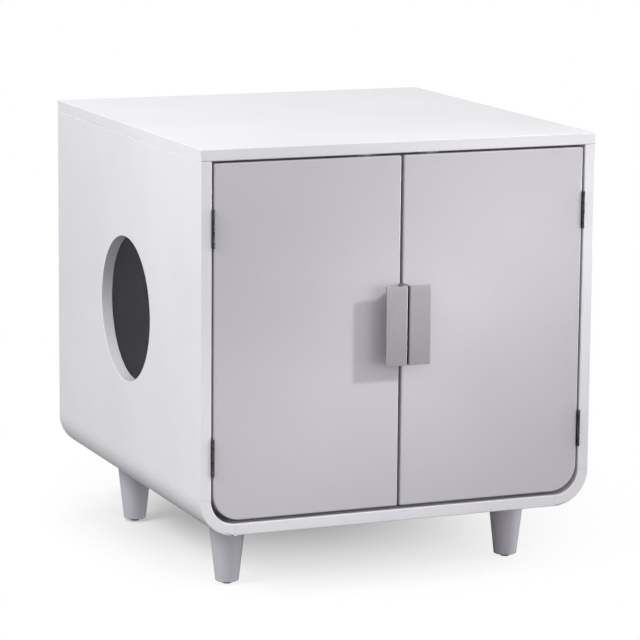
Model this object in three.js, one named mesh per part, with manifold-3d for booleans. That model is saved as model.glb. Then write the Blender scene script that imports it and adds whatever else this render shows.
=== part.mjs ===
// A cat litter box cabinet: a painted board box on four turned legs, with a round
// doorway in its left side and two inset front doors on butt hinges.
// Millimetres, +Z up. X runs to the right of someone facing the doors, Y runs from
// the doors to the back, and the origin is the middle of the overall box, on the floor.
import * as THREE from "three";
import { mergeVertices } from "three/addons/utils/BufferGeometryUtils.js";
import Module from "manifold-3d";

// Carcass
const cabinetWidth = 576;
const cabinetDepth = 600;
const bodyHeight = 520; // underside of the bottom board to the face of the top board
const boardThickness = 16;
const boardEase = 0.8; // softened edge of every carcass board
const boardCorner = 1.2; // plan radius of a carcass board's corners
const cornerRadius = 50; // outside radius of the two curved lower corners
const backThickness = 9;
const backInset = 1; // the back board sits this far in from the rear edges
const fitGap = 0.3; // clearance between pieces that slot into each other

// Doorway in the left side
const doorwayDiameter = 204;
const doorwayCentreDepth = 300; // from the front edge of the side
const doorwayCentreHeight = 260; // from the underside of the bottom board

// Doors
const doorThickness = 16;
const doorSideGap = 3;
const doorTopGap = 3;
const doorBottomGap = 5;
const doorMiddleGap = 4;
const doorEase = 1.6; // rounded edge of the door faces
const doorCorner = 2.2; // plan radius of the square door corners
const doorLowerSlack = 4; // the lower outer corner is rounder than the curve beside it

// Handles: a folded strip with a front face, a web and a hidden flange on the door
const handleHeight = 108;
const handleCentreHeight = 274; // above the underside of the bottom board
const handleFaceWidth = 31.4;
const handleFlangeWidth = 16;
const handleFlangeInset = 6; // the flange stops short of the ends of the face
const handleReach = 25; // face of the handle in front of the door
const handleThickness = 3;
const handleBend = 1.8; // outside radius of the front fold
const handleInnerBend = 0.8;
const handleMiddleGap = 2; // between the two handles
const handleScrewSpacing = 64;
const handleScrewInset = 10; // screw axis from the web's outer face
const handleScrewRadius = 2;
const handleScrewHeadRadius = 4;
const handleScrewHeadFlat = 3; // radius of the flat end of the head
const handleScrewHeadThickness = 2.2;

// Butt hinges
const hingeLength = 50;
const hingeKnuckles = 7;
const hingeKnuckleGap = 0.2;
const hingeBarrelRadius = 2;
const hingeBarrelStandoff = 0.2; // barrel clear of the front face of the cabinet
const hingePinRadius = 1;
const hingePinClearance = 0.08;
const hingePinHeadRadius = 1.7;
const hingePinHeadFlat = 1; // radius of the flat end of the head
const hingePinHeadHeight = 0.8;
const hingeLeafThickness = 1;
const hingeLeafDepth = 13; // how far the leaf reaches into the door gap
const hingeLeafRelief = 0.4; // leaf edge clear of the other leaf's knuckles
const hingeUpperInset = 105; // upper hinge middles below the top face
const hingeLowerHeight = 109; // lower hinge middles above the underside of the bottom board
const hingeScrewSpacing = 28;
const hingeScrewLength = 12;
const hingeScrewRadius = 1.5;
const hingeScrewHeadRadius = 2.9;
const hingeScrewDepth = 7.2; // screw line behind the front face
const pilotClearance = 0.15; // a screw or spigot in its hole

// Legs
const legHeight = 88;
const legTopRadius = 26;
const legBottomRadius = 16;
const legArris = 1.2; // rounded lower edge of a leg
const legSideInset = 77; // leg axis from the side of the cabinet
const legFrontInset = 100; // leg axis from the front
const legBackInset = 120; // leg axis from the back
const boltRadius = 4;
const boltInLeg = 25;
const boltInBoard = 12;
const boltChamfer = 0.8;
const glideHeight = 4;
const glideRadius = 6.6;
const glideEase = 0.8;
const glideNailRadius = 1.5;
const glideNailLength = 12;

// Magnetic catches under the top and the plates they hold
const catchWidth = 28;
const catchDepth = 14;
const catchHeight = 12;
const catchCorner = 2.2; // plan radius of its corners
const catchEase = 0.8;
const catchSpigotRadius = 2.5;
const catchSpigotLength = 8;
const catchSpigotSpacing = 16;
const catchFromMiddle = 46; // catch middle from the middle of the cabinet
const plateRadius = 6;
const plateThickness = 1.2;
const platePinRadius = 1.5;
const platePinLength = 8;

// Facets, and cutters
const cornerSteps = 12; // in a quarter turn
const smallSteps = 2; // in a quarter turn of a small corner
const smallCorner = 10; // corners up to this radius take the small steps
const foldSteps = 4; // in the front fold of a handle
const doorwaySteps = 64;
const easeSteps = 2;
const legFacets = 28;
const boltFacets = 12;
const screwFacets = 8;
const barrelFacets = 12;
const overrun = 1; // how far a cutter runs past a face, or a joined piece into the next

// Levels above the floor, and the cabinet's own places
const underside = glideHeight + legHeight;
const topFace = underside + bodyHeight;
const slabUnderside = topFace - boardThickness;
const bottomTop = underside + boardThickness;
const cornerSeam = underside + cornerRadius;
const halfWidth = cabinetWidth / 2;
const insideHalf = halfWidth - boardThickness;
const insideRadius = cornerRadius - boardThickness;
const doorLowerRadius = insideRadius + doorLowerSlack;
const doorOuterEdge = insideHalf - doorSideGap;
const doorBottom = bottomTop + doorBottomGap;
const doorTop = slabUnderside - doorTopGap;
const sides = { left: -1, right: 1 };

const wasm = await Module();
wasm.setup();

// ---- Shapes ----

const finish = (color, roughness, metalness) =>
  new THREE.MeshStandardMaterial({ color, roughness, metalness });

const carcassPaint = () => finish(0xe0e0e4, 0.5, 0);
const doorPaint = () => finish(0xc6c2cb, 0.5, 0);
const legPaint = () => finish(0xbdb9c2, 0.5, 0);
const brushedNickel = () => finish(0xb4b2b2, 0.35, 1);
const hingeSteel = () => finish(0xa8a7ab, 0.3, 1);
const zincSteel = () => finish(0xb9b9b4, 0.4, 1);
const catchPlastic = () => finish(0xd6d5d2, 0.55, 0);
const glidePlastic = () => finish(0x6a686c, 0.6, 0);

// Points of an arc, both ends included.
function arc(x, y, radius, from, to, steps) {
  return Array.from({ length: steps + 1 }, (_, i) => {
    const angle = from + ((to - from) * i) / steps;
    return new THREE.Vector2(x + radius * Math.cos(angle), y + radius * Math.sin(angle));
  });
}

// A rectangle with rounded corners; radii run anticlockwise from the lower left.
function roundedRectangle(x0, y0, x1, y1, radii) {
  const [lowerLeft, lowerRight, upperRight, upperLeft] = radii;
  const quarter = Math.PI / 2;
  const steps = (radius) => (radius > smallCorner ? cornerSteps : smallSteps);
  return [
    ...arc(x0 + lowerLeft, y0 + lowerLeft, lowerLeft, 2 * quarter, 3 * quarter, steps(lowerLeft)),
    ...arc(x1 - lowerRight, y0 + lowerRight, lowerRight, -quarter, 0, steps(lowerRight)),
    ...arc(x1 - upperRight, y1 - upperRight, upperRight, 0, quarter, steps(upperRight)),
    ...arc(x0 + upperLeft, y1 - upperLeft, upperLeft, quarter, 2 * quarter, steps(upperLeft)),
  ];
}

const evenRadii = (radius) => [radius, radius, radius, radius];

// A flat board from its outline, lying on z = 0, with both faces' edges softened.
function board(outline, thickness, ease, openings = []) {
  const shape = new THREE.Shape(outline);
  shape.holes = openings.map((points) => new THREE.Path(points));
  const geometry = new THREE.ExtrudeGeometry(shape, {
    depth: thickness - 2 * ease,
    bevelEnabled: true,
    bevelThickness: ease,
    bevelSize: ease,
    bevelOffset: -ease,
    bevelSegments: easeSteps,
  });
  return geometry.translate(0, 0, ease);
}

// A board drawn in X and Z, standing with its front face at y = front.
const facingFront = (geometry, thickness, front) =>
  geometry.rotateX(Math.PI / 2).translate(0, front + thickness, 0);

// A board drawn in Y and Z, standing with its lower-X face at x = left.
const facingSide = (geometry, left) =>
  geometry
    .applyMatrix4(
      new THREE.Matrix4().makeBasis(
        new THREE.Vector3(0, 1, 0),
        new THREE.Vector3(0, 0, 1),
        new THREE.Vector3(1, 0, 0),
      ),
    )
    .translate(left, 0, 0);

// A turned piece about +Z from [radius, height] pairs, anticlockwise.
function turned(profile, facets) {
  const points = profile.map(([radius, height]) => new THREE.Vector2(radius, height));
  return new THREE.LatheGeometry(points, facets).rotateX(Math.PI / 2);
}

const block = (x0, x1, y0, y1, z0, z1) =>
  new THREE.BoxGeometry(x1 - x0, y1 - y0, z1 - z0).translate(
    (x0 + x1) / 2,
    (y0 + y1) / 2,
    (z0 + z1) / 2,
  );

function toSolid(geometry) {
  const bare = geometry.clone();
  bare.deleteAttribute("normal");
  bare.deleteAttribute("uv");
  const merged = mergeVertices(bare, 1e-4);
  const corners = merged.index.array;
  const kept = [];
  for (let i = 0; i < corners.length; i += 3) {
    const [a, b, c] = corners.slice(i, i + 3);
    if (a !== b && b !== c && c !== a) kept.push(a, b, c);
  }
  return new wasm.Manifold(
    new wasm.Mesh({
      numProp: 3,
      vertProperties: merged.attributes.position.array,
      triVerts: new Uint32Array(kept),
    }),
  );
}

function toGeometry(solid) {
  const mesh = solid.getMesh();
  const geometry = new THREE.BufferGeometry();
  geometry.setAttribute("position", new THREE.BufferAttribute(mesh.vertProperties, 3));
  geometry.setIndex(new THREE.BufferAttribute(mesh.triVerts, 1));
  const flat = geometry.toNonIndexed();
  flat.computeVertexNormals();
  return flat;
}

const join = (geometries) =>
  toGeometry(geometries.map(toSolid).reduce((whole, piece) => whole.add(piece)));

const cut = (geometry, tools) =>
  toGeometry(tools.map(toSolid).reduce((rest, tool) => rest.subtract(tool), toSolid(geometry)));

// ---- Assembly ----

const cabinet = new THREE.Group();
cabinet.position.y = (handleReach - cabinetDepth) / 2;

function place(name, geometry, material, [x, y, z] = [0, 0, 0]) {
  const mesh = new THREE.Mesh(geometry, material);
  mesh.name = name;
  mesh.position.set(x, y, z);
  cabinet.add(mesh);
}

// Hinges: the pin stands in front of the gap beside each door, and both leaves lie in it.
const hingeAxisX = insideHalf - doorSideGap / 2;
const hingeAxisY = -(hingeBarrelRadius + hingeBarrelStandoff);
const hingeHeights = {
  upper: topFace - hingeUpperInset,
  lower: underside + hingeLowerHeight,
};
const hingeScrewHeights = [-hingeScrewSpacing / 2, hingeScrewSpacing / 2];
const knuckleLength =
  (hingeLength - (hingeKnuckles - 1) * hingeKnuckleGap) / hingeKnuckles;

// A countersunk screw along +X: its head faces +X and is flush with x = 0.
function countersunk(grow) {
  const radius = hingeScrewRadius + grow;
  const head = hingeScrewHeadRadius + grow;
  const profile = [
    [0, -hingeScrewLength - grow],
    [radius, -hingeScrewLength + radius - grow],
    [radius, -hingeLeafThickness],
    [head, 0],
  ];
  if (grow > 0) profile.push([head, hingeLeafThickness]);
  profile.push([0, profile.at(-1)[1]]);
  return turned(profile, screwFacets).rotateY(Math.PI / 2);
}

// One leaf about the hinge pin. toward is -1 or 1, the side of the pin that it lies on,
// and first is 0 or 1, the first of its knuckles counted from below.
function hingeLeaf(toward, first) {
  const outer = (toward * doorSideGap) / 2;
  const inner = outer - toward * hingeLeafThickness;
  const [low, high] = [Math.min(outer, inner), Math.max(outer, inner)];
  const front = hingeBarrelRadius + hingeLeafRelief;
  const back = hingeLeafDepth - hingeAxisY;
  const pieces = [block(low, high, front, back, -hingeLength / 2, hingeLength / 2)];
  const bore = hingePinRadius + hingePinClearance;
  for (let knuckle = first; knuckle < hingeKnuckles; knuckle += 2) {
    const bottom = -hingeLength / 2 + knuckle * (knuckleLength + hingeKnuckleGap);
    const top = bottom + knuckleLength;
    const ring = [
      [bore, bottom],
      [hingeBarrelRadius, bottom],
      [hingeBarrelRadius, top],
      [bore, top],
      [bore, bottom],
    ];
    pieces.push(turned(ring, barrelFacets));
    const tongueFront = (bore + hingeBarrelRadius) / 2;
    pieces.push(block(low, high, tongueFront, front + overrun, bottom, top));
  }
  const sinks = hingeScrewHeights.map((height) =>
    countersunk(pilotClearance)
      .rotateZ(toward > 0 ? Math.PI : 0)
      .translate(inner, hingeScrewDepth - hingeAxisY, height),
  );
  return cut(join(pieces), sinks);
}

function hingePin() {
  const half = hingeLength / 2 + fitGap / 2;
  const end = half + hingePinHeadHeight;
  const profile = [
    [0, -end],
    [hingePinHeadFlat, -end],
    [hingePinHeadRadius, -half],
    [hingePinRadius, -half],
    [hingePinRadius, half],
    [hingePinHeadRadius, half],
    [hingePinHeadFlat, end],
    [0, end],
  ];
  return turned(profile, barrelFacets);
}

// Screw places beside one hinge, for the piece on the given side of the pin.
const hingeScrewHead = doorSideGap / 2 - hingeLeafThickness; // head from the pin's plane
function hingeScrewPlaces(side, toward) {
  const x = side * hingeAxisX + toward * hingeScrewHead;
  return Object.entries(hingeHeights).flatMap(([level, middle]) =>
    hingeScrewHeights.map((height, i) => ({
      name: `${level}_hinge`,
      number: i + 1,
      at: [x, hingeScrewDepth, middle + height],
    })),
  );
}

const hingePilots = (side, toward) =>
  hingeScrewPlaces(side, toward).map(({ at }) =>
    countersunk(pilotClearance)
      .rotateZ(toward > 0 ? Math.PI : 0)
      .translate(...at),
  );

// Carcass
const slabOutline = roundedRectangle(
  -halfWidth,
  0,
  halfWidth,
  cabinetDepth,
  evenRadii(boardCorner),
);
const catchMiddleY = doorThickness + plateThickness + fitGap + catchDepth / 2;
const catchSpigots = [-catchSpigotSpacing / 2, catchSpigotSpacing / 2];
const spigotHoles = Object.values(sides).flatMap((side) =>
  catchSpigots.map((offset) =>
    turned(
      [
        [0, -overrun],
        [catchSpigotRadius + pilotClearance, -overrun],
        [catchSpigotRadius + pilotClearance, catchSpigotLength + fitGap],
        [0, catchSpigotLength + fitGap],
      ],
      screwFacets,
    ).translate(side * catchFromMiddle + offset, catchMiddleY, 0),
  ),
);
place(
  "top_panel",
  cut(board(slabOutline, boardThickness, boardEase), spigotHoles),
  carcassPaint(),
  [0, 0, slabUnderside],
);

const doorwayRim = arc(
  doorwayCentreDepth,
  underside + doorwayCentreHeight,
  doorwayDiameter / 2,
  0,
  2 * Math.PI,
  doorwaySteps,
).slice(0, -1);
for (const [name, side] of Object.entries(sides)) {
  const outline = roundedRectangle(
    0,
    cornerSeam,
    cabinetDepth,
    slabUnderside,
    evenRadii(boardCorner),
  );
  const openings = name === "left" ? [doorwayRim] : [];
  const left = side < 0 ? -halfWidth : insideHalf;
  const panel = facingSide(board(outline, boardThickness, boardEase, openings), left);
  place(`${name}_side_panel`, cut(panel, hingePilots(side, side)), carcassPaint());

  const centreX = side * (halfWidth - cornerRadius);
  const [from, to] = side < 0 ? [Math.PI, 1.5 * Math.PI] : [1.5 * Math.PI, 2 * Math.PI];
  const curve = [
    ...arc(centreX, cornerSeam, cornerRadius, from, to, cornerSteps),
    ...arc(centreX, cornerSeam, insideRadius, to, from, cornerSteps),
  ];
  place(
    `${name}_corner_curve`,
    facingFront(board(curve, cabinetDepth, boardEase), cabinetDepth, 0),
    carcassPaint(),
  );
}

// Legs, their bolts and glides, and the board they hang from
const legPlaces = {
  front_left: [-halfWidth + legSideInset, legFrontInset],
  front_right: [halfWidth - legSideInset, legFrontInset],
  back_left: [-halfWidth + legSideInset, cabinetDepth - legBackInset],
  back_right: [halfWidth - legSideInset, cabinetDepth - legBackInset],
};
const boltBore = boltRadius + pilotClearance;
const nailBore = glideNailRadius + pilotClearance;

const bottomOutline = roundedRectangle(
  cornerRadius - halfWidth,
  0,
  halfWidth - cornerRadius,
  cabinetDepth,
  evenRadii(boardCorner),
);
const boltHoles = Object.values(legPlaces).map(([x, y]) =>
  turned(
    [
      [0, -overrun],
      [boltBore, -overrun],
      [boltBore, boltInBoard + fitGap],
      [0, boltInBoard + fitGap],
    ],
    boltFacets,
  ).translate(x, y, 0),
);
place(
  "bottom_panel",
  cut(board(bottomOutline, boardThickness, boardEase), boltHoles),
  carcassPaint(),
  [0, 0, underside],
);

function leg() {
  const nailTop = glideNailLength + fitGap;
  const boltEnd = legHeight - boltInLeg - fitGap;
  const profile = [
    [0, nailTop],
    [nailBore, nailTop],
    [nailBore, 0],
    [legBottomRadius - legArris, 0],
    [legBottomRadius, legArris],
    [legTopRadius, legHeight],
    [boltBore, legHeight],
    [boltBore, boltEnd],
    [0, boltEnd],
  ];
  return turned(profile, legFacets);
}

function legBolt() {
  const tip = boltRadius - boltChamfer;
  const profile = [
    [0, -boltInLeg],
    [tip, -boltInLeg],
    [boltRadius, -boltInLeg + boltChamfer],
    [boltRadius, boltInBoard - boltChamfer],
    [tip, boltInBoard],
    [0, boltInBoard],
  ];
  return turned(profile, boltFacets);
}

function glide() {
  const profile = [
    [0, 0],
    [glideRadius - glideEase, 0],
    [glideRadius, glideEase],
    [glideRadius, glideHeight],
    [glideNailRadius, glideHeight],
    [glideNailRadius, glideHeight + glideNailLength - glideNailRadius],
    [0, glideHeight + glideNailLength],
  ];
  return turned(profile, boltFacets);
}

for (const [name, [x, y]] of Object.entries(legPlaces)) {
  place(`${name}_leg`, leg(), legPaint(), [x, y, glideHeight]);
  place(`${name}_leg_bolt`, legBolt(), zincSteel(), [x, y, underside]);
  place(`${name}_glide`, glide(), glidePlastic(), [x, y, 0]);
}

// Back board, held inside the carcass
const backOutline = roundedRectangle(
  -insideHalf + fitGap,
  bottomTop,
  insideHalf - fitGap,
  slabUnderside,
  [insideRadius, insideRadius, boardCorner, boardCorner],
);
place(
  "back_panel",
  facingFront(
    board(backOutline, backThickness, boardEase),
    backThickness,
    cabinetDepth - backInset - backThickness,
  ),
  carcassPaint(),
);

// Doors, each with its handle, handle screws and catch plate
const handleMiddle = underside + handleCentreHeight;
const handleScrewX = handleMiddleGap / 2 + handleScrewInset;
const handleScrewHeights = [-handleScrewSpacing / 2, handleScrewSpacing / 2];
const catchMiddleZ = slabUnderside - catchHeight / 2;

// A hole or shaft along Y, from y0 to y1.
const alongY = (radius, y0, y1) =>
  new THREE.CylinderGeometry(radius, radius, y1 - y0, screwFacets).translate(
    0,
    (y0 + y1) / 2,
    0,
  );

function door(side) {
  const inner = doorMiddleGap / 2;
  const [x0, x1] = side < 0 ? [-doorOuterEdge, -inner] : [inner, doorOuterEdge];
  const radii = evenRadii(doorCorner);
  radii[side < 0 ? 0 : 1] = doorLowerRadius;
  const outline = roundedRectangle(x0, doorBottom, x1, doorTop, radii);
  const slab = facingFront(board(outline, doorThickness, doorEase), doorThickness, 0);
  const handleHoles = handleScrewHeights.map((height) =>
    alongY(handleScrewRadius + pilotClearance, -overrun, doorThickness + overrun).translate(
      side * handleScrewX,
      0,
      handleMiddle + height,
    ),
  );
  const plateHole = alongY(
    platePinRadius + pilotClearance,
    doorThickness - platePinLength - fitGap,
    doorThickness + overrun,
  ).translate(side * catchFromMiddle, 0, catchMiddleZ);
  return cut(slab, [...handleHoles, plateHole, ...hingePilots(side, -side)]);
}

// A handle drawn from above: the front fold, the face, the two inner bends and the flange.
function handle(side) {
  const web = handleMiddleGap / 2;
  const inside = web + handleThickness;
  const face = handleThickness - handleReach;
  const quarter = Math.PI / 2;
  const point = (x, y) => new THREE.Vector2(x, y);
  const bend = (x, y, radius, from, to, steps) =>
    arc(web + x, y, radius, from * quarter, to * quarter, steps);
  const bendX = handleThickness + handleInnerBend;
  const profile = [
    point(web, 0),
    ...bend(handleBend, handleBend - handleReach, handleBend, 2, 3, foldSteps),
    point(web + handleFaceWidth, -handleReach),
    point(web + handleFaceWidth, face),
    ...bend(bendX, face + handleInnerBend, handleInnerBend, 3, 2, smallSteps),
    ...bend(bendX, -bendX, handleInnerBend, 2, 1, smallSteps),
    point(web + handleFlangeWidth, -handleThickness),
    point(web + handleFlangeWidth, 0),
  ].map(({ x, y }) => point(side * x, y));
  const strip = new THREE.ExtrudeGeometry(new THREE.Shape(profile), {
    depth: handleHeight,
    bevelEnabled: false,
  }).translate(0, 0, handleMiddle - handleHeight / 2);
  const holes = handleScrewHeights.map((height) =>
    alongY(handleScrewRadius + pilotClearance, -handleThickness - overrun, overrun).translate(
      side * handleScrewX,
      0,
      handleMiddle + height,
    ),
  );
  const outer = web + handleFlangeWidth + overrun;
  const [x0, x1] = side < 0 ? [-outer, -inside] : [inside, outer];
  const notches = [-1, 1].map((end) => {
    const near = handleMiddle + end * (handleHeight / 2 - handleFlangeInset);
    const far = handleMiddle + end * (handleHeight / 2 + overrun);
    return block(x0, x1, -bendX, overrun, Math.min(near, far), Math.max(near, far));
  });
  return cut(strip, [...holes, ...notches]);
}

// A pan-head screw from inside the door: y = 0 is the door's back face.
function handleScrew() {
  const reach = doorThickness + handleThickness;
  const profile = [
    [0, -handleScrewHeadThickness],
    [handleScrewHeadFlat, -handleScrewHeadThickness],
    [handleScrewHeadRadius, -handleScrewHeadThickness / 2],
    [handleScrewHeadRadius, 0],
    [handleScrewRadius, 0],
    [handleScrewRadius, reach],
    [0, reach],
  ];
  return turned(profile, screwFacets).rotateX(Math.PI / 2);
}

// A steel disc on the door's back face, with a barbed pin into the board.
function catchPlate() {
  const profile = [
    [0, -plateThickness],
    [plateRadius, -plateThickness],
    [plateRadius, 0],
    [platePinRadius, 0],
    [platePinRadius, platePinLength],
    [0, platePinLength],
  ];
  return turned(profile, boltFacets).rotateX(Math.PI / 2);
}

function magneticCatch() {
  const half = catchWidth / 2;
  const outline = roundedRectangle(
    -half,
    -catchDepth / 2,
    half,
    catchDepth / 2,
    evenRadii(catchCorner),
  );
  const housing = board(outline, catchHeight, catchEase);
  const spigots = catchSpigots.map((offset) =>
    turned(
      [
        [0, catchHeight / 2],
        [catchSpigotRadius, catchHeight / 2],
        [catchSpigotRadius, catchHeight + catchSpigotLength],
        [0, catchHeight + catchSpigotLength],
      ],
      screwFacets,
    ).translate(offset, 0, 0),
  );
  return join([housing, ...spigots]);
}

for (const [name, side] of Object.entries(sides)) {
  place(`${name}_door`, door(side), doorPaint());
  place(`${name}_handle`, handle(side), brushedNickel());
  handleScrewHeights.forEach((height, i) =>
    place(`${name}_handle_screw_${i + 1}`, handleScrew(), zincSteel(), [
      side * handleScrewX,
      doorThickness,
      handleMiddle + height,
    ]),
  );
  place(`${name}_catch_plate`, catchPlate(), zincSteel(), [
    side * catchFromMiddle,
    doorThickness,
    catchMiddleZ,
  ]);
  place(`${name}_magnetic_catch`, magneticCatch(), catchPlastic(), [
    side * catchFromMiddle,
    catchMiddleY,
    slabUnderside - catchHeight,
  ]);
  for (const [level, middle] of Object.entries(hingeHeights)) {
    const at = [side * hingeAxisX, hingeAxisY, middle];
    place(`${name}_${level}_hinge_frame_leaf`, hingeLeaf(side, 0), hingeSteel(), at);
    place(`${name}_${level}_hinge_door_leaf`, hingeLeaf(-side, 1), hingeSteel(), at);
    place(`${name}_${level}_hinge_pin`, hingePin(), hingeSteel(), at);
  }
  for (const [piece, toward] of [
    ["frame", side],
    ["door", -side],
  ])
    for (const screw of hingeScrewPlaces(side, toward))
      place(
        `${name}_${screw.name}_${piece}_screw_${screw.number}`,
        countersunk(0).rotateZ(toward > 0 ? Math.PI : 0),
        zincSteel(),
        screw.at,
      );
}

export default cabinet;
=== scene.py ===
"""A cat litter box cabinet: a painted board box on turned legs, with a round doorway in one
side and two inset front doors with brushed metal handles."""

import math

import bpy
from mathutils import Matrix, Vector


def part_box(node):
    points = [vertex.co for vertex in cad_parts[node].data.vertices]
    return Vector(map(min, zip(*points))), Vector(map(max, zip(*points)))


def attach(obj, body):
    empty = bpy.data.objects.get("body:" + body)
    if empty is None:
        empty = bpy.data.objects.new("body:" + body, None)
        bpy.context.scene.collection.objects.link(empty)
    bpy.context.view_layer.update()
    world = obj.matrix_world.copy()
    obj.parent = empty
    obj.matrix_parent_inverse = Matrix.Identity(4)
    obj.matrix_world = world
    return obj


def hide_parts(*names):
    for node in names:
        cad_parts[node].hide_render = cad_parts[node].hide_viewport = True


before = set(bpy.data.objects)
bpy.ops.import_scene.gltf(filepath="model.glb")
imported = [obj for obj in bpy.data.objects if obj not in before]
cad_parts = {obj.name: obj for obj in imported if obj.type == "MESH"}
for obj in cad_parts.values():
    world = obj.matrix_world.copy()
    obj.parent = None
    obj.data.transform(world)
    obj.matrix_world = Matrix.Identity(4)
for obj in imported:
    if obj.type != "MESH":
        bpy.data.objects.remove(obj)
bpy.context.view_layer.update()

# ---------------------------------------------------------------- The view
# The cabinet is seen from its front left, a little above the top, through a long lens.
# The place, turn and lens were solved from the corners of the cabinet in the picture.
PICTURE_WIDTH = 640
LENS_IN_PIXELS = 3208.4
SENSOR_WIDTH = 36.0
FARTHEST_SEEN = 60.0
EYE = Vector((-1.7367, -4.1640, 1.1462))
EYE_TURN = math.radians(22.662)
EYE_DROP = math.radians(10.377)
EYE_ROLL = math.radians(0.518)

camera_data = bpy.data.cameras.new("view")
camera_data.sensor_width = SENSOR_WIDTH
camera_data.lens = LENS_IN_PIXELS * SENSOR_WIDTH / PICTURE_WIDTH
camera_data.clip_end = FARTHEST_SEEN
camera = bpy.data.objects.new("view", camera_data)
bpy.context.scene.collection.objects.link(camera)
aim = Matrix.Rotation(-EYE_TURN, 4, "Z") @ Matrix.Rotation(math.pi / 2 - EYE_DROP, 4, "X")
camera.matrix_world = Matrix.Translation(EYE) @ aim @ Matrix.Rotation(EYE_ROLL, 4, "Z")
bpy.context.scene.camera = camera
bpy.context.scene.view_settings.view_transform = "Standard"


# ---------------------------------------------------------------- The studio
# A wide white floor in a white room that lights the cabinet more weakly than the camera sees
# it. A soft lamp and a narrow higher spot stand at the right front, a low one far round to
# the right catches the edges, one stands high at the left, and a very soft one is overhead.
FLOOR_SEEN = (0.93, 0.93, 0.93, 1)
FLOOR_BOUNCE = (0.30, 0.30, 0.30, 1)
FLOOR_SIZE = 30.0
FLOOR_ROUGHNESS = 0.9
SHADOW_MIDDLE = (-0.015, 0.20, 0.0)
SHADOW_STARTS_FADING = -0.12
SHADOW_ENDS = 0.635
ROOM_STRENGTH = 0.79
FRONT_PLACE = Vector((1.80, -3.25, 0.55))
FRONT_SIZE = 2.4
FRONT_POWER = 23.0
SPOT_PLACE = Vector((2.24, -1.78, 1.84))
SPOT_AIM = Vector((0.05, -0.2875, 0.375))
SPOT_CONE = math.radians(8.9)
SPOT_RADIUS = 0.17
SPOT_POWER = 330.0
EDGE_PLACE = Vector((2.62, -0.62, 0.24))
EDGE_SIZE = 0.4
EDGE_POWER = 20.0
SIDE_PLACE = Vector((-1.75, -0.42, 1.62))
SIDE_SIZE = 0.8
SIDE_POWER = 25.0
SKY_HEIGHT = Vector((0, 0, 3))
SKY_STRENGTH = 0.26
SKY_SPREAD = math.radians(100.0)
LAMP_AIM = Vector((0.0, -0.1, 0.32))


class Wire:
    """A shader value: arithmetic on wires adds Math nodes, and node() adds any other."""

    def __init__(self, tree, socket):
        self.tree = tree
        self.socket = socket

    def node(self, kind, settings=None, inputs=None, output=0):
        made = self.tree.nodes.new(kind)
        for key, value in (settings or {}).items():
            setattr(made, key, value)
        for key, value in (inputs or {}).items():
            if isinstance(value, Wire):
                self.tree.links.new(value.socket, made.inputs[key])
            else:
                made.inputs[key].default_value = value
        return Wire(self.tree, made.outputs[output])

    def maths(self, operation, first, second):
        return self.node("ShaderNodeMath", {"operation": operation}, {0: first, 1: second})

    def __add__(self, other):
        return self.maths("ADD", self, other)

    def __mul__(self, other):
        return self.maths("MULTIPLY", self, other)

    def stretched(self, x, y, z):
        return self.node("ShaderNodeMapping", None, {"Vector": self, "Scale": (x, y, z)})

    def noise(self, scale, detail=2.0, roughness=0.5):
        inputs = {"Vector": self, "Scale": scale, "Detail": detail, "Roughness": roughness}
        return self.node("ShaderNodeTexNoise", None, inputs)

    def between(self, low, high):
        """The value squeezed so that 0 becomes low and 1 becomes high, with soft ends."""
        inputs = {"Value": self, "From Min": low, "From Max": high}
        return self.node("ShaderNodeMapRange", {"interpolation_type": "SMOOTHSTEP"}, inputs)

    def blend(self, first, second):
        """A colour that is first where the wire is 0 and second where it is 1. The Mix node
        has its colours in inputs 6 and 7 and in output 2."""
        settings = {"data_type": "RGBA", "clamp_factor": True}
        return self.node("ShaderNodeMix", settings, {0: self, 6: first, 7: second}, 2)


def new_finish(name, **constants):
    """A material with its Principled shader's constants set, and its place on the object."""
    material = bpy.data.materials.new(name)
    material.use_nodes = True
    tree = material.node_tree
    shader = tree.nodes["Principled BSDF"]
    for socket, value in constants.items():
        shader.inputs[socket.replace("_", " ")].default_value = value
    here = tree.nodes.new("ShaderNodeTexCoord")
    return material, shader, Wire(tree, here.outputs["Object"])


def feed(shader, wire, socket):
    wire.tree.links.new(wire.socket, shader.inputs[socket])


def deselect():
    bpy.ops.object.select_all(action="DESELECT")


def lamp(name, kind, place, power, aim=LAMP_AIM):
    light = bpy.data.lights.new(name, kind)
    light.energy = power
    holder = bpy.data.objects.new(name, light)
    holder.location = place
    holder.rotation_euler = (aim - place).to_track_quat("-Z", "Y").to_euler()
    holder.visible_camera = False
    bpy.context.scene.collection.objects.link(holder)
    return light


def disk_lamp(name, place, size, power):
    light = lamp(name, "AREA", place, power)
    light.shape = "DISK"
    light.size = size


def background_rays(tree):
    """1 for the rays that should see the white background, and 0 for those that only light."""
    rays = tree.nodes.new("ShaderNodeLightPath")
    return Wire(tree, rays.outputs["Is Camera Ray"])


disk_lamp("front_lamp", FRONT_PLACE, FRONT_SIZE, FRONT_POWER)
disk_lamp("edge_lamp", EDGE_PLACE, EDGE_SIZE, EDGE_POWER)
disk_lamp("side_lamp", SIDE_PLACE, SIDE_SIZE, SIDE_POWER)
beam = lamp("spot_lamp", "SPOT", SPOT_PLACE, SPOT_POWER, SPOT_AIM)
beam.spot_size = SPOT_CONE
beam.spot_blend = 1.0
beam.shadow_soft_size = SPOT_RADIUS
sky = lamp("sky_lamp", "SUN", LAMP_AIM + SKY_HEIGHT, SKY_STRENGTH)
sky.angle = SKY_SPREAD

room = bpy.data.worlds.new("room")
room.use_nodes = True
bpy.context.scene.world = room
backdrop = room.node_tree.nodes["Background"]
room_light = background_rays(room.node_tree) * (1.0 - ROOM_STRENGTH) + ROOM_STRENGTH
backdrop.inputs["Color"].default_value = (1, 1, 1, 1)
room.node_tree.links.new(room_light.socket, backdrop.inputs["Strength"])

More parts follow.
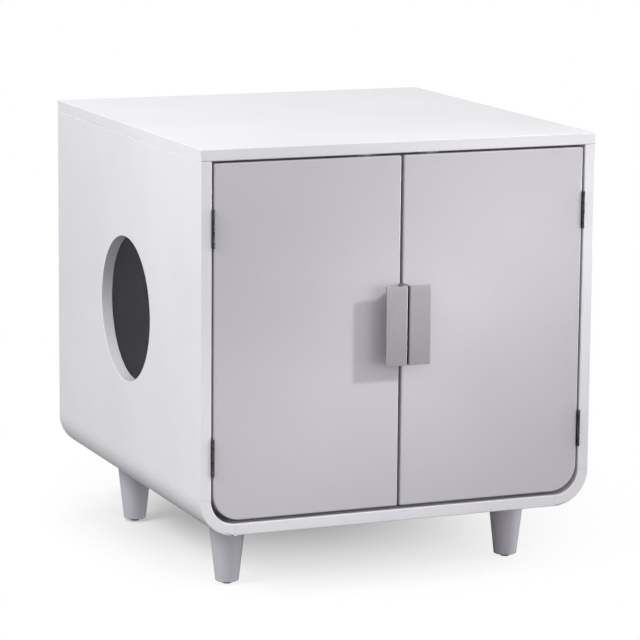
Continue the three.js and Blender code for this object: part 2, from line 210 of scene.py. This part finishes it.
deselect()
bpy.ops.mesh.primitive_plane_add(size=FLOOR_SIZE)
floor = bpy.context.object
floor.name = "floor"
floor_paper, floor_shader, here = new_finish(
    "floor_paper", Roughness=FLOOR_ROUGHNESS, Specular_IOR_Level=0.0
)
paper_tree = floor_paper.node_tree
seen_here = background_rays(paper_tree)
feed(floor_shader, seen_here.blend(FLOOR_BOUNCE, FLOOR_SEEN), "Base Color")
ends = {0: here, 1: SHADOW_MIDDLE}
away = here.node("ShaderNodeVectorMath", {"operation": "DISTANCE"}, ends, "Value")
whitened = away.between(SHADOW_STARTS_FADING, SHADOW_ENDS) * seen_here
glow = paper_tree.nodes.new("ShaderNodeEmission")
fade = paper_tree.nodes.new("ShaderNodeMixShader")
paper_tree.links.new(whitened.socket, fade.inputs[0])
paper_tree.links.new(floor_shader.outputs[0], fade.inputs[1])
paper_tree.links.new(glow.outputs[0], fade.inputs[2])
paper_tree.links.new(fade.outputs[0], paper_tree.nodes["Material Output"].inputs[0])
floor.data.materials.append(floor_paper)


# ---------------------------------------------------------------- Carcass boards
# The top, the sides, the bottom and the back are fibreboard sprayed with satin off-white
# paint. Their edges are eased by hand before painting, which leaves the fine bright lines.
CARCASS_WHITE = (0.800, 0.787, 0.823, 1)
CARCASS_SHADE = (0.766, 0.754, 0.791, 1)
PAINT_COAT = 0.7
PAINT_COAT_ROUGHNESS = 0.12
PAINT_IOR = 1.46
CARCASS_ROUGHNESS = 0.46
TONE_RANGE = (0.3, 0.7)
CLOUDS_PER_METRE = 5.0
CLOUD_DULLING = 0.05
SPECKLES_PER_METRE = 900.0
SPECKLE_DULLING = 0.06
PEEL_PER_METRE = 420.0
PEEL_FINENESS = 0.55
PEEL_DEPTH = 0.00006
WAVES_PER_METRE = 38.0
WAVE_SHARE = 1.5
SAME_PLACE = 0.000001
TOUCHING = 0.00001
SMOOTH_BELOW = math.radians(32.0)
EDGE_STEPS = 4
BOARD_EASE = 0.0007
FRONT_EASE = 0.0015
DOORWAY_RADIUS = 0.102
DOORWAY_STEPS = 160
CORNER_STEPS = 40


def bump(shader, height, distance):
    inputs = {"Height": height, "Distance": distance}
    feed(shader, height.node("ShaderNodeBump", None, inputs), "Normal")


def spray_paint(name, colour, shade, roughness):
    """Sprayed satin paint: a faint orange peel, and a little unevenness in tone and gloss."""
    material, shader, here = new_finish(
        name, Coat_Weight=PAINT_COAT, Coat_Roughness=PAINT_COAT_ROUGHNESS, IOR=PAINT_IOR
    )
    cloudy = here.noise(CLOUDS_PER_METRE, detail=3.0)
    feed(shader, cloudy.between(*TONE_RANGE).blend(shade, colour), "Base Color")
    speckle = here.noise(SPECKLES_PER_METRE)
    least = roughness - (CLOUD_DULLING + SPECKLE_DULLING) / 2
    feed(shader, cloudy * CLOUD_DULLING + speckle * SPECKLE_DULLING + least, "Roughness")
    peel = here.noise(PEEL_PER_METRE, roughness=PEEL_FINENESS)
    bump(shader, peel + here.noise(WAVES_PER_METRE) * WAVE_SHARE, PEEL_DEPTH)
    return material


carcass_paint = spray_paint(
    "carcass_paint", CARCASS_WHITE, CARCASS_SHADE, CARCASS_ROUGHNESS
)


def block(name, low, high):
    """A box between two corners, its mesh in place."""
    deselect()
    bpy.ops.mesh.primitive_cube_add(size=1.0, location=(Vector(low) + Vector(high)) / 2)
    piece = bpy.context.object
    piece.name = name
    piece.scale = Vector(high) - Vector(low)
    settle(piece)
    return piece


def settle(piece):
    """The object goes to the origin, unturned and unscaled, and its place into its mesh."""
    deselect()
    piece.select_set(True)
    bpy.context.view_layer.objects.active = piece
    bpy.ops.object.transform_apply(location=True, rotation=True, scale=True)


def edit(piece, kind, chosen):
    """Enters edit mode with the chosen edges or faces of the piece selected."""
    settle(piece)
    bpy.ops.object.mode_set(mode="EDIT")
    bpy.ops.mesh.select_mode(type=kind)
    bpy.ops.mesh.select_all(action="DESELECT")
    bpy.ops.object.mode_set(mode="OBJECT")
    parts = piece.data.edges if kind == "EDGE" else piece.data.polygons
    for part in parts:
        part.select = bool(chosen(part))
    bpy.ops.object.mode_set(mode="EDIT")


def leave_edit():
    bpy.ops.object.mode_set(mode="OBJECT")


def meet(first, second):
    """Whether two places along an axis are the same."""
    return abs(first - second) < TOUCHING


def middle_of(piece, edge):
    first, second = (piece.data.vertices[i].co for i in edge.vertices)
    return (first + second) / 2


def round_edges(piece, chosen, radius, steps):
    """Rounds the edges whose middle point is chosen."""
    edit(piece, "EDGE", lambda edge: chosen(middle_of(piece, edge)))
    bpy.ops.mesh.bevel(offset=radius, segments=steps, affect="EDGES", clamp_overlap=False)
    leave_edit()


def modify(piece, kind, **settings):
    """Adds a modifier and applies it."""
    deselect()
    piece.select_set(True)
    bpy.context.view_layer.objects.active = piece
    added = piece.modifiers.new(kind.title(), kind)
    for key, value in settings.items():
        setattr(added, key, value)
    bpy.ops.object.modifier_apply(modifier=added.name)


def ease(piece, radius, steps=3, corner=40.0):
    """Softens every edge sharper than the corner angle, joins the corners that end up in one
    place, and smooths the curved faces."""
    modify(
        piece,
        "BEVEL",
        width=radius,
        segments=steps,
        limit_method="ANGLE",
        angle_limit=math.radians(corner),
    )
    modify(piece, "WELD", merge_threshold=SAME_PLACE)
    smooth(piece)


def smooth(piece):
    deselect()
    piece.select_set(True)
    bpy.context.view_layer.objects.active = piece
    bpy.ops.object.shade_smooth_by_angle(angle=SMOOTH_BELOW)
    modify(piece, "WEIGHTED_NORMAL", keep_sharp=True)


def round_front(piece, front, along):
    """Rounds a board's two long front edges, which run along the given axis."""
    corners = [vertex.co for vertex in piece.data.vertices]
    middle = sum(corners, Vector()) / len(corners)
    round_edges(
        piece,
        lambda at: meet(at.y, front) and meet(at[along], middle[along]),
        FRONT_EASE,
        EDGE_STEPS,
    )


def carve(piece, cutter, solver="EXACT"):
    """Cuts one solid out of another and removes the cutter."""
    modify(piece, "BOOLEAN", operation="DIFFERENCE", object=cutter, solver=solver)
    bpy.data.objects.remove(cutter)


def dress(piece, finish, body, node):
    """Gives a finished piece its material, its body and the node it stands for."""
    piece.data.materials.clear()
    piece.data.materials.append(finish)
    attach(piece, body)
    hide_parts(node)


top_low, top_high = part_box("top_panel")
left_low, left_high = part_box("left_side_panel")
right_low, right_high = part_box("right_side_panel")
bottom_low, bottom_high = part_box("bottom_panel")
back_low, back_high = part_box("back_panel")
curve_low, curve_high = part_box("left_corner_curve")
board_thickness = bottom_high.z - bottom_low.z

top_board = block("top_board", top_low, top_high)
round_front(top_board, top_low.y, 0)
ease(top_board, BOARD_EASE)
dress(top_board, carcass_paint, "cabinet", "top_panel")

right_board = block("right_side_board", right_low, right_high)
round_front(right_board, right_low.y, 2)
ease(right_board, BOARD_EASE)
dress(right_board, carcass_paint, "cabinet", "right_side_panel")

bottom_board = block("bottom_board", bottom_low, bottom_high)
round_front(bottom_board, bottom_low.y, 0)
ease(bottom_board, BOARD_EASE)
dress(bottom_board, carcass_paint, "cabinet", "bottom_panel")

# The left side has the cat's doorway, sawn round and eased like the board's own edges.
left_board = block("left_side_board", left_low, left_high)
round_front(left_board, left_low.y, 2)
doorway_centre = (left_low + left_high) / 2
doorway_centre.z = (top_high.z + bottom_low.z) / 2
deselect()
bpy.ops.mesh.primitive_cylinder_add(
    vertices=DOORWAY_STEPS,
    radius=DOORWAY_RADIUS,
    depth=4 * board_thickness,
    location=doorway_centre,
    rotation=(0, math.pi / 2, 0),
)
saw = bpy.context.object
settle(saw)
carve(left_board, saw)
ease(left_board, BOARD_EASE)
dress(left_board, carcass_paint, "cabinet", "left_side_panel")


# ---------------------------------------------------------------- Curved lower corners
# Each lower corner is its own bent piece, as thick as the boards, glued between the side
# and the bottom. It is sprayed with them, and a hairline stays at both joints.
PAST_THE_PIECE = 0.1
FAR_PAST = 1.0
ARC_SLACK = 0.0001


def corner_curve(side):
    node = f"{side}_corner_curve"
    low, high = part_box(node)
    outer_x, inner_x = (low.x, high.x) if side == "left" else (high.x, low.x)
    inward = 1 if side == "left" else -1
    radius = high.z - low.z
    piece = block(f"{side}_corner", low, high)
    round_edges(
        piece,
        lambda at: meet(at.x, outer_x) and meet(at.z, low.z),
        radius,
        CORNER_STEPS,
    )
    inside = radius - board_thickness
    corner_x = outer_x + inward * board_thickness
    hollow_floor = low.z + board_thickness
    sides = sorted((corner_x, inner_x + inward * FAR_PAST))
    hollow = block(
        "hollow",
        (sides[0], low.y - PAST_THE_PIECE, hollow_floor),
        (sides[1], high.y + PAST_THE_PIECE, high.z + PAST_THE_PIECE),
    )
    round_edges(
        hollow,
        lambda at: meet(at.x, corner_x) and meet(at.z, hollow_floor),
        inside,
        CORNER_STEPS,
    )
    carve(piece, hollow)

    def on_arc(at):
        reach = math.hypot(at.x - inner_x, at.z - high.z)
        return min(abs(reach - radius), abs(reach - inside)) < ARC_SLACK

    round_edges(piece, lambda at: meet(at.y, low.y) and on_arc(at), FRONT_EASE, EDGE_STEPS)
    ease(piece, BOARD_EASE)
    dress(piece, carcass_paint, "cabinet", node)


for side in ("left", "right"):
    corner_curve(side)


# ---------------------------------------------------------------- Back board
# A thinner board that fills the back of the carcass between the sides, just inside their
# rear edges. Its lower corners follow the curved pieces.
back_board = block("back_board", back_low, back_high)
back_corner = curve_high.z - curve_low.z - board_thickness
round_edges(
    back_board,
    lambda at: meet(at.z, back_low.z) and meet(abs(at.x), back_high.x),
    back_corner,
    CORNER_STEPS,
)
ease(back_board, BOARD_EASE)
dress(back_board, carcass_paint, "cabinet", "back_panel")


# ---------------------------------------------------------------- Doors
# Two inset doors of the same board, sprayed a pale lavender grey on all faces. Their edges
# are rounder than the carcass's, and the lower outer corner follows the curved piece.
DOOR_GREY = (0.572, 0.543, 0.602, 1)
DOOR_SHADE = (0.551, 0.524, 0.581, 1)
DOOR_EASE = 0.0022
DOOR_CORNER = 0.038
DOOR_ROUGHNESS = 0.42

door_paint = spray_paint("door_paint", DOOR_GREY, DOOR_SHADE, DOOR_ROUGHNESS)


def door(side):
    node = f"{side}_door"
    low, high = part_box(node)
    outer_x = low.x if side == "left" else high.x
    piece = block(f"{side}_door_board", low, high)
    round_edges(
        piece,
        lambda at: meet(at.x, outer_x) and meet(at.z, low.z),
        DOOR_CORNER,
        CORNER_STEPS,
    )
    ease(piece, DOOR_EASE, steps=5)
    dress(piece, door_paint, node, node)


for side in ("left", "right"):
    door(side)


# ---------------------------------------------------------------- Handles
# A flat strip of nickel-plated steel folded into a deep hook: a flange on the door behind,
# a web beside the door gap, and the broad brushed face that the fingers reach behind.
NICKEL = (0.530, 0.512, 0.534, 1)
NICKEL_DARK = (0.430, 0.414, 0.434, 1)
HANDLE_THICKNESS = 0.003
HANDLE_FLANGE = 0.016
HANDLE_FLANGE_INSET = 0.006
HANDLE_FOLD = 0.0018
HANDLE_INNER_FOLD = 0.0008
HANDLE_EASE = 0.0007
NICKEL_ROUGHNESS = 0.20
STROKES_PER_METRE = 5200.0
STROKE_STRETCH = 0.012
STROKE_FINENESS = 0.6
STROKE_DULLING = 0.16
STROKE_DEPTH = 0.00003
SMEARS_PER_METRE = 24.0
SMEAR_DULLING = 0.08
FACING = 0.9

brushed_nickel, nickel_shader, here = new_finish("brushed_nickel", Metallic=1.0)
upright_grain = here.stretched(1, 1, STROKE_STRETCH)
strokes = upright_grain.noise(STROKES_PER_METRE, 3.0, STROKE_FINENESS)
smears = here.noise(SMEARS_PER_METRE) * SMEAR_DULLING
feed(nickel_shader, strokes.between(*TONE_RANGE).blend(NICKEL_DARK, NICKEL), "Base Color")
feed(nickel_shader, strokes * STROKE_DULLING + smears + NICKEL_ROUGHNESS, "Roughness")
bump(nickel_shader, strokes, STROKE_DEPTH)


def handle(side):
    node = f"{side}_handle"
    low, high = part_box(node)
    outward = 1 if side == "right" else -1
    inner_x, outer_x = (low.x, high.x) if side == "right" else (high.x, low.x)
    web_x = inner_x + outward * HANDLE_THICKNESS
    corners = (Vector((inner_x, low.y, low.z)), Vector((web_x, high.y, high.z)))
    piece = block(
        f"{side}_pull",
        [min(pair) for pair in zip(*corners)],
        [max(pair) for pair in zip(*corners)],
    )
    middle_z = (low.z + high.z) / 2
    flange_half = (high.z - low.z) / 2 - HANDLE_FLANGE_INSET
    face_y = low.y + HANDLE_THICKNESS
    flange_y = high.y - HANDLE_THICKNESS
    cuts = (
        ((0, face_y, 0), (0, 1, 0)),
        ((0, flange_y, 0), (0, 1, 0)),
        ((0, 0, middle_z - flange_half), (0, 0, 1)),
        ((0, 0, middle_z + flange_half), (0, 0, 1)),
    )
    for place, across in cuts:
        edit(piece, "FACE", lambda part: True)
        bpy.ops.mesh.bisect(plane_co=place, plane_no=across)
        leave_edit()

    def in_flange(at):
        return at.y > flange_y and abs(at.z - middle_z) < flange_half

    reaches = (
        (lambda at: at.y < face_y, outer_x - web_x),
        (in_flange, inner_x + outward * HANDLE_FLANGE - web_x),
    )
    for picked, reach in reaches:
        edit(
            piece, "FACE", lambda part: part.normal.x * outward > FACING and picked(part.center)
        )
        bpy.ops.mesh.extrude_region_move(TRANSFORM_OT_translate={"value": (reach, 0, 0)})
        leave_edit()

    def upright(at):
        return low.z + TOUCHING < at.z < high.z - TOUCHING

    round_edges(
        piece,
        lambda at: meet(at.x, inner_x) and meet(at.y, low.y) and upright(at),
        HANDLE_FOLD,
        2 * EDGE_STEPS,
    )
    round_edges(
        piece,
        lambda at: meet(at.x, web_x) and meet(at.y, face_y) and upright(at),
        HANDLE_INNER_FOLD,
        EDGE_STEPS,
    )
    ease(piece, HANDLE_EASE)
    dress(piece, brushed_nickel, f"{side}_door", node)


for side in ("left", "right"):
    handle(side)


# ---------------------------------------------------------------- Legs
# Each leg is turned from one piece of wood, tapering to the foot, and sprayed a grey close
# to the doors'. A bolt in its top screws up into the bottom board.
LEG_GREY = (0.600, 0.578, 0.640, 1)
LEG_SHADE = (0.568, 0.548, 0.610, 1)
LEG_STEPS = 96
LEG_TOP_RADIUS = 0.026
LEG_FOOT_RADIUS = 0.016
LEG_ARRIS = 0.0012
LEG_NAMES = ("front_left", "front_right", "back_left", "back_right")

leg_paint = spray_paint("leg_paint", LEG_GREY, LEG_SHADE, DOOR_ROUGHNESS)


def again(piece, name, move):
    """A copy of a finished piece with a mesh of its own, moved by a matrix."""
    copy = piece.copy()
    copy.data = piece.data.copy()
    copy.name = name
    copy.data.transform(move)
    bpy.context.scene.collection.objects.link(copy)
    return copy


def middle_under(node):
    low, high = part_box(node)
    return Vector(((low.x + high.x) / 2, (low.y + high.y) / 2, low.z))


leg_low, leg_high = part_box("front_left_leg")
first_foot = middle_under("front_left_leg")
deselect()
bpy.ops.mesh.primitive_cone_add(
    vertices=LEG_STEPS,
    radius1=LEG_FOOT_RADIUS,
    radius2=LEG_TOP_RADIUS,
    depth=leg_high.z - leg_low.z,
    location=first_foot + Vector((0, 0, (leg_high.z - leg_low.z) / 2)),
)
turned_leg = bpy.context.object
settle(turned_leg)
ease(turned_leg, LEG_ARRIS, steps=4)
for place_name in LEG_NAMES:
    node = f"{place_name}_leg"
    move = Matrix.Translation(middle_under(node) - first_foot)
    leg = again(turned_leg, f"{place_name}_turned_leg", move)
    dress(leg, leg_paint, "cabinet", node)
bpy.data.objects.remove(turned_leg)


# ---------------------------------------------------------------- Glides and leg bolts
# A nylon glide is nailed under each leg, and a zinc-plated bolt joins the leg's top to the
# bottom board. The bolts are hidden in the wood and keep their plain shape.
GLIDE_GREY = (0.150, 0.145, 0.150, 1)
GLIDE_RADIUS = 0.0066
GLIDE_HEIGHT = 0.004
GLIDE_ROUND = 0.0009
NAIL_RADIUS = 0.0015
NAIL_LENGTH = 0.012
NAIL_POINT = NAIL_RADIUS / 4
ZINC = (0.600, 0.600, 0.580, 1)
ZINC_DARK = (0.450, 0.450, 0.440, 1)
ROUND_STEPS = 48
SMALL_EASE = 0.0002
ZINC_ROUGHNESS = 0.28
PLATE_CLOUDS_PER_METRE = 160.0
PLATE_TONE_RANGE = (0.25, 0.75)
PLATE_CLOUD_DULLING = 0.12
SCRATCHES_PER_METRE = 3000.0
SCRATCH_STRETCH = 0.05
SCRATCH_DULLING = 0.10
SCRATCH_DEPTH = 0.00002
GLIDE_ROUGHNESS = 0.50
GRAINS_PER_METRE = 1800.0
GRAIN_DULLING = 0.12
GRAIN_DEPTH = 0.00003
GRAIN_TONE = 0.92


def plated(name, colour, dark, roughness):
    """Plated steel: a little cloudy, with fine scratches along the piece."""
    material, shader, here = new_finish(name, Metallic=1.0)
    cloudy = here.noise(PLATE_CLOUDS_PER_METRE, detail=3.0)
    scratch = here.stretched(1, 1, SCRATCH_STRETCH).noise(SCRATCHES_PER_METRE)
    feed(shader, cloudy.between(*PLATE_TONE_RANGE).blend(dark, colour), "Base Color")
    worn = cloudy * PLATE_CLOUD_DULLING + scratch * SCRATCH_DULLING
    feed(shader, worn + roughness, "Roughness")
    bump(shader, scratch, SCRATCH_DEPTH)
    return material


def moulded(name, colour, roughness):
    """Moulded plastic with the fine grain of its mould."""
    material, shader, here = new_finish(name)
    grain = here.noise(GRAINS_PER_METRE)
    dull = tuple(GRAIN_TONE * channel for channel in colour[:3]) + (1,)
    feed(shader, grain.between(*TONE_RANGE).blend(dull, colour), "Base Color")
    feed(shader, grain * GRAIN_DULLING + roughness, "Roughness")
    bump(shader, grain, GRAIN_DEPTH)
    return material


def turned(name, rings):
    """A round piece about Z: a disc drawn out from ring to ring of (radius, height)."""
    deselect()
    radius, height = rings[0]
    bpy.ops.mesh.primitive_circle_add(
        vertices=ROUND_STEPS, radius=radius, fill_type="NGON", location=(0, 0, height)
    )
    piece = bpy.context.object
    piece.name = name
    edit(piece, "FACE", lambda part: True)
    for next_radius, next_height in rings[1:]:
        rise = (0, 0, next_height - height)
        bpy.ops.mesh.extrude_region_move(TRANSFORM_OT_translate={"value": rise})
        growth = next_radius / radius
        bpy.ops.transform.resize(value=(growth, growth, 1), center_override=(0, 0, next_height))
        radius, height = next_radius, next_height
    bpy.ops.mesh.select_all(action="SELECT")
    bpy.ops.mesh.normals_make_consistent(inside=False)
    leave_edit()
    return piece


zinc_steel = plated("zinc_steel", ZINC, ZINC_DARK, ZINC_ROUGHNESS)
glide_plastic = moulded("glide_plastic", GLIDE_GREY, GLIDE_ROUGHNESS)
glide_rings = (
    (GLIDE_RADIUS, 0.0),
    (GLIDE_RADIUS, GLIDE_HEIGHT),
    (NAIL_RADIUS, GLIDE_HEIGHT),
    (NAIL_RADIUS, GLIDE_HEIGHT + NAIL_LENGTH - NAIL_RADIUS),
    (NAIL_POINT, GLIDE_HEIGHT + NAIL_LENGTH),
)
glide = turned("glide", glide_rings)
round_edges(glide, lambda at: at.z < TOUCHING, GLIDE_ROUND, EDGE_STEPS)
ease(glide, SMALL_EASE, steps=2)
for place_name in LEG_NAMES:
    node = f"{place_name}_glide"
    foot = again(glide, f"{place_name}_foot", Matrix.Translation(middle_under(node)))
    dress(foot, glide_plastic, "cabinet", node)
    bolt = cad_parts[f"{place_name}_leg_bolt"]
    bolt.data.materials.clear()
    bolt.data.materials.append(zinc_steel)
bpy.data.objects.remove(glide)


# ---------------------------------------------------------------- Hinges
# Plated steel butt hinges, their colour painted dark as a painted reflection of dark
# surroundings: two leaves bent round a pin in seven knuckles, the frame leaf on the carcass
# and the door leaf on the door's edge, each with two countersunk screws.
HINGE_PAINTED_DARK_STEEL = (0.170, 0.165, 0.175, 1)
HINGE_PAINTED_DARKER_STEEL = (0.060, 0.058, 0.062, 1)
HINGE_ROUGHNESS = 0.12
HINGE_LENGTH = 0.050
KNUCKLES = 7
KNUCKLE_GAP = 0.0005
BARREL_RADIUS = 0.0020
KNUCKLE_ROUND = 0.0005
PIN_RADIUS = 0.0010
PIN_BORE = 0.00108
PIN_HEAD_RADIUS = 0.0017
PIN_HEAD_HEIGHT = 0.0008
PIN_HEAD_TIP = PIN_HEAD_RADIUS * 0.6
LEAF_NEAR = 0.0005
LEAF_FAR = 0.0015
LEAF_FRONT = 0.0024
LEAF_BACK = 0.0152
LEAF_CORNER = 0.0020
TONGUE_FRONT = BARREL_RADIUS * 0.7
SCREW_LINE = 0.0094
SCREW_SPACING = 0.028
SCREW_RADIUS = 0.0015
SCREW_HEAD_RADIUS = 0.0029
SCREW_LENGTH = 0.012
SCREW_POINT = SCREW_RADIUS / 5
SCREW_EASE = 0.0001
CROSS_LENGTH = 0.0034
CROSS_WIDTH = 0.0007
CROSS_DEPTH = 0.0012

# The hinge steel is painted dark: its dark colour is a painted reflection of dark surroundings.
hinge_steel = plated("hinge_steel", HINGE_PAINTED_DARK_STEEL, HINGE_PAINTED_DARKER_STEEL, HINGE_ROUGHNESS)


def fuse(piece, other):
    """Welds another solid onto the piece and removes it."""
    modify(piece, "BOOLEAN", operation="UNION", object=other, solver="EXACT")
    bpy.data.objects.remove(other)


def hinge_leaf(name, first):
    """A leaf on the +X side of a pin that stands on the Z axis, its first knuckle given."""
    half = HINGE_LENGTH / 2
    leaf = block(name, (LEAF_NEAR, LEAF_FRONT, -half), (LEAF_FAR, LEAF_BACK, half))
    round_edges(
        leaf,
        lambda at: meet(at.y, LEAF_BACK) and meet(abs(at.z), half),
        LEAF_CORNER,
        2 * EDGE_STEPS,
    )
    length = (HINGE_LENGTH - (KNUCKLES - 1) * KNUCKLE_GAP) / KNUCKLES
    for number in range(first, KNUCKLES, 2):
        bottom = number * (length + KNUCKLE_GAP) - half
        knuckle = turned("knuckle", ((BARREL_RADIUS, bottom), (BARREL_RADIUS, bottom + length)))
        ease(knuckle, KNUCKLE_ROUND)
        tongue_low = (LEAF_NEAR, TONGUE_FRONT, bottom)
        tongue_high = (LEAF_FAR, LEAF_FRONT + LEAF_NEAR, bottom + length)
        fuse(knuckle, block("tongue", tongue_low, tongue_high))
        fuse(leaf, knuckle)
    carve(leaf, turned("bore", ((PIN_BORE, -HINGE_LENGTH), (PIN_BORE, HINGE_LENGTH))))
    facing = Matrix.Rotation(-math.pi / 2, 4, "Y")
    for height in (-SCREW_SPACING / 2, SCREW_SPACING / 2):
        sink = turned(
            "sink",
            (
                (SCREW_RADIUS, -LEAF_FAR),
                (SCREW_RADIUS, LEAF_NEAR - LEAF_FAR),
                (SCREW_HEAD_RADIUS, 0.0),
                (SCREW_HEAD_RADIUS, LEAF_FAR),
            ),
        )
        sink.data.transform(Matrix.Translation((LEAF_NEAR, SCREW_LINE, height)) @ facing)
        carve(leaf, sink)
    smooth(leaf)
    return leaf


def cross_recess(screw, top):
    """Cuts a cross for the screwdriver into a screw's head, which faces up. The manifold
    solver divides these small faces the same way each time, which the exact one doesn't."""
    for turn in (0, math.pi / 2):
        half = Vector((CROSS_LENGTH / 2, CROSS_WIDTH / 2, CROSS_DEPTH))
        cutter = block("cutter", (-half.x, -half.y, top - half.z), (half.x, half.y, top + half.z))
        cutter.data.transform(Matrix.Rotation(turn, 4, "Z"))
        carve(screw, cutter, "MANIFOLD")


hinge_pin = turned(
    "hinge_pin",
    (
        (PIN_HEAD_TIP, -HINGE_LENGTH / 2 - PIN_HEAD_HEIGHT),
        (PIN_HEAD_RADIUS, -HINGE_LENGTH / 2),
        (PIN_RADIUS, -HINGE_LENGTH / 2),
        (PIN_RADIUS, HINGE_LENGTH / 2),
        (PIN_HEAD_RADIUS, HINGE_LENGTH / 2),
        (PIN_HEAD_TIP, HINGE_LENGTH / 2 + PIN_HEAD_HEIGHT),
    ),
)
ease(hinge_pin, SMALL_EASE, steps=2, corner=25.0)
hinge_screw = turned(
    "hinge_screw",
    (
        (SCREW_POINT, -SCREW_LENGTH),
        (SCREW_RADIUS, -SCREW_LENGTH + 2 * SCREW_RADIUS),
        (SCREW_RADIUS, LEAF_NEAR - LEAF_FAR),
        (SCREW_HEAD_RADIUS, 0.0),
    ),
)
cross_recess(hinge_screw, 0.0)
ease(hinge_screw, SCREW_EASE, steps=1)
leaves = {"frame": hinge_leaf("frame_leaf", 0), "door": hinge_leaf("door_leaf", 1)}
half_turn = Matrix.Rotation(math.pi, 4, "Y")
for side in ("left", "right"):
    for level in ("upper", "lower"):
        hinge = f"{side}_{level}_hinge"
        low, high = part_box(f"{hinge}_pin")
        axis = Matrix.Translation((low + high) / 2)
        pin = again(hinge_pin, f"{hinge}_turning_pin", axis)
        dress(pin, hinge_steel, "cabinet", f"{hinge}_pin")
        for part, body in (("frame", "cabinet"), ("door", f"{side}_door")):
            on_left = (side == "left") == (part == "frame")
            turn = axis @ half_turn if on_left else axis
            leaf = again(leaves[part], f"{hinge}_{part}_plate", turn)
            dress(leaf, hinge_steel, body, f"{hinge}_{part}_leaf")
            for number in (1, 2):
                node = f"{hinge}_{part}_screw_{number}"
                low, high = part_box(node)
                head = (low + high) / 2
                head.x = high.x if on_left else low.x
                quarter = Matrix.Rotation(math.pi / 2 if on_left else -math.pi / 2, 4, "Y")
                screw = again(hinge_screw, f"{node}_crossed", Matrix.Translation(head) @ quarter)
                dress(screw, zinc_steel, body, node)
for master in (hinge_pin, hinge_screw, *leaves.values()):
    bpy.data.objects.remove(master)


# ---------------------------------------------------------------- Handle screws
# Two zinc-plated pan-head screws go through each door from behind into the handle's flange.
PAN_RADIUS = 0.0040
PAN_HEIGHT = 0.0022
PAN_SHANK = 0.0020
PAN_REACH = 0.0190
PAN_DOME = ((1.0, 0.45), (0.88, 0.80), (0.60, 1.0))

pan_screw = turned(
    "pan_screw",
    (
        (PAN_SHANK, -PAN_REACH),
        (PAN_SHANK, 0.0),
        (PAN_RADIUS, 0.0),
        *((PAN_RADIUS * across, PAN_HEIGHT * up) for across, up in PAN_DOME),
    ),
)
cross_recess(pan_screw, PAN_HEIGHT)
ease(pan_screw, SMALL_EASE, steps=2, corner=30.0)
facing_in = Matrix.Rotation(-math.pi / 2, 4, "X")
for side in ("left", "right"):
    for number in (1, 2):
        node = f"{side}_handle_screw_{number}"
        low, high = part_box(node)
        base = Vector(((low.x + high.x) / 2, high.y - PAN_HEIGHT, (low.z + high.z) / 2))
        screw = again(pan_screw, f"{node}_crossed", Matrix.Translation(base) @ facing_in)
        dress(screw, zinc_steel, f"{side}_door", node)
bpy.data.objects.remove(pan_screw)


# ---------------------------------------------------------------- Catches
# A moulded magnetic catch is pushed up into the top for each door, with two steel pole
# strips in its front. They hold a round steel plate that is pinned to the door's back.
CATCH_WHITE = (0.700, 0.700, 0.680, 1)
CATCH_ROUGHNESS = 0.45
CATCH_CORNER = 0.0022
CATCH_STEPS = 6
SPIGOT_RADIUS = 0.0025
SPIGOT_SPACING = 0.016
SPIGOT_LENGTH = 0.008
SPIGOT_CHAMFER = 0.0005
SPIGOT_TIP = SPIGOT_RADIUS * 0.8
HOUSING_EASE = 0.0005
POLE_SIZE = Vector((0.018, 0.0016, 0.0016))
POLE_SPACING = 0.0050
POLE_INSET = 0.0001
PLATE_RADIUS = 0.0060
PLATE_THICKNESS = 0.0012
PLATE_PIN_RADIUS = 0.0015
PLATE_PIN_LENGTH = 0.0080
PLATE_DIMPLE = 0.7

catch_plastic = moulded("catch_plastic", CATCH_WHITE, CATCH_ROUGHNESS)
plate = turned(
    "plate",
    (
        (PLATE_PIN_RADIUS, -PLATE_PIN_LENGTH),
        (PLATE_PIN_RADIUS, 0.0),
        (PLATE_RADIUS, 0.0),
        (PLATE_RADIUS, PLATE_THICKNESS),
        (PLATE_PIN_RADIUS, PLATE_THICKNESS),
        (PLATE_PIN_RADIUS * PLATE_DIMPLE, PLATE_THICKNESS * PLATE_DIMPLE),
    ),
)
ease(plate, SMALL_EASE, steps=2)
for side in ("left", "right"):
    node = f"{side}_catch_plate"
    low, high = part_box(node)
    base = Vector(((low.x + high.x) / 2, high.y - PLATE_THICKNESS, (low.z + high.z) / 2))
    disc = again(plate, f"{node}_disc", Matrix.Translation(base) @ facing_in)
    dress(disc, zinc_steel, f"{side}_door", node)

    node = f"{side}_magnetic_catch"
    low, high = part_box(node)
    middle = (low + high) / 2
    under_top = high.z - SPIGOT_LENGTH
    housing = block(f"{node}_housing", low, (high.x, high.y, under_top))
    round_edges(
        housing,
        lambda at: meet(abs(at.x - middle.x), high.x - middle.x)
        and meet(abs(at.y - middle.y), high.y - middle.y),
        CATCH_CORNER,
        CATCH_STEPS,
    )
    centre_z = (low.z + under_top) / 2
    for step in (-0.5, 0.5):
        pole_middle = Vector((middle.x, low.y, centre_z + step * POLE_SPACING))
        slot_low, slot_high = pole_middle - POLE_SIZE / 2, pole_middle + POLE_SIZE / 2
        carve(housing, block("slot", slot_low, slot_high))
        strip_low = Vector((slot_low.x, low.y + POLE_INSET, slot_low.z))
        level = "lower" if step < 0 else "upper"
        strip = block(f"{node}_pole_{level}", strip_low, slot_high)
        ease(strip, SMALL_EASE, steps=2)
        strip.data.materials.append(zinc_steel)
        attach(strip, "cabinet")
        spigot = turned(
            "spigot",
            (
                (SPIGOT_RADIUS, centre_z),
                (SPIGOT_RADIUS, high.z - SPIGOT_CHAMFER),
                (SPIGOT_TIP, high.z),
            ),
        )
        sideways = middle.x + step * SPIGOT_SPACING
        spigot.data.transform(Matrix.Translation((sideways, middle.y, 0)))
        fuse(housing, spigot)
    ease(housing, HOUSING_EASE)
    dress(housing, catch_plastic, "cabinet", node)
bpy.data.objects.remove(plate)
